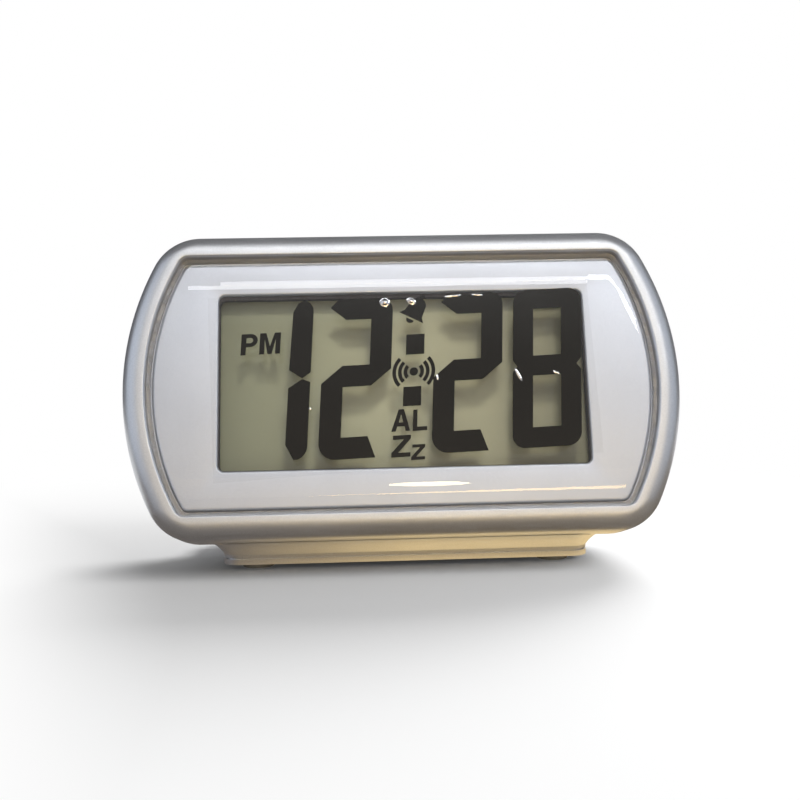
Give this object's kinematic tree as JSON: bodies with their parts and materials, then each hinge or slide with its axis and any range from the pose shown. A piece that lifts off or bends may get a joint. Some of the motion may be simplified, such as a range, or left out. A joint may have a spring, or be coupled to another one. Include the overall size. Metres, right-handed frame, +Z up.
{
  "type": "digital alarm clock",
  "caption": "Barrel-shaped digital alarm clock: leaning silver case on a low flared base, large display window behind a clear lens, snooze bar on top, setting keys and battery door at the back.",
  "frame": {"origin": "on the table under the middle of the clock", "axes": "+X to the viewer's right of the display, +Y towards the back, +Z up; the display faces -Y"},
  "size_m": [0.14, 0.0537, 0.0842],
  "materials": {
    "silver_shell": "metallic silver paint, satin",
    "lens_clear": "clear acrylic, polished",
    "film_print": "clear film with dark printed figures",
    "lcd_glass": "LCD glass, grey-green",
    "reflector": "grey-green reflector film",
    "acrylic": "clear acrylic",
    "led_body": "white LED body",
    "dark_plastic": "black moulded plastic",
    "zebra_rubber": "conductive elastomer",
    "board": "green circuit board",
    "resin": "black resin drop",
    "steel": "bright steel",
    "key_grey": "dark grey moulded keys",
    "ribbon": "grey ribbon cable",
    "cell_wrap": "plain wrapped cell",
    "lead_wire": "insulated lead",
    "brass_disc": "brass buzzer disc",
    "foot_rubber": "soft black rubber"
  },
  "bodies": {
    "case": {"front_bezel": "silver_shell", "lens": "lens_clear", "display_film": "film_print", "display_mask": "silver_shell", "lcd_front_glass": "lcd_glass", "lcd_rear_glass": "lcd_glass", "lcd_reflector": "reflector", "light_guide": "acrylic", "backlight_leds": "led_body", "lcd_frame": "dark_plastic", "zebra_strip": "zebra_rubber", "main_board": "board", "clock_chip": "resin", "crystal": "steel", "snooze_switch": "dark_plastic", "board_screws": "steel", "rear_housing": "silver_shell", "case_screws": "steel", "key_board": "board", "key_switches": "dark_plastic", "slide_switch": "steel", "key_board_screws": "steel", "key_ribbon": "ribbon", "battery_cells": "cell_wrap", "battery_springs": "steel", "contact_plates": "steel", "battery_leads": "lead_wire", "buzzer_disc": "brass_disc", "buzzer_leads": "lead_wire", "base_shell": "silver_shell", "base_plate": "silver_shell", "base_screws": "steel", "rubber_feet": "foot_rubber"},
    "snooze_bar": {"snooze_bar": "silver_shell"},
    "time_key": {"time_key": "key_grey"},
    "hour_key": {"hour_key": "key_grey"},
    "minute_key": {"minute_key": "key_grey"},
    "alarm_key": {"alarm_key": "key_grey"},
    "alarm_knob": {"alarm_knob": "key_grey"},
    "battery_door": {"battery_door": "silver_shell"}
  },
  "joints": [
    {"name": "snooze_press", "type": "slide", "parent": "case", "child": "snooze_bar", "axis": [0, -0.2756, -0.9613], "range_m": [0, 0.0012], "stiffness_N_per_m": 300},
    {"name": "time_key_press", "type": "slide", "parent": "case", "child": "time_key", "axis": [0, -0.9613, 0.2756], "range_m": [0, 0.0008], "stiffness_N_per_m": 200},
    {"name": "hour_key_press", "type": "slide", "parent": "case", "child": "hour_key", "axis": [0, -0.9613, 0.2756], "range_m": [0, 0.0008], "stiffness_N_per_m": 200},
    {"name": "minute_key_press", "type": "slide", "parent": "case", "child": "minute_key", "axis": [0, -0.9613, 0.2756], "range_m": [0, 0.0008], "stiffness_N_per_m": 200},
    {"name": "alarm_key_press", "type": "slide", "parent": "case", "child": "alarm_key", "axis": [0, -0.9613, 0.2756], "range_m": [0, 0.0008], "stiffness_N_per_m": 200},
    {"name": "alarm_switch_slide", "type": "slide", "parent": "case", "child": "alarm_knob", "axis": [1, 0, 0], "range_m": [0, 0.004]},
    {"name": "battery_door_swing", "type": "hinge", "parent": "case", "child": "battery_door", "pos_m": [0, 0.01226, 0.01623], "axis": [-1, 0, 0], "range_deg": [0, 90]}
  ]
}
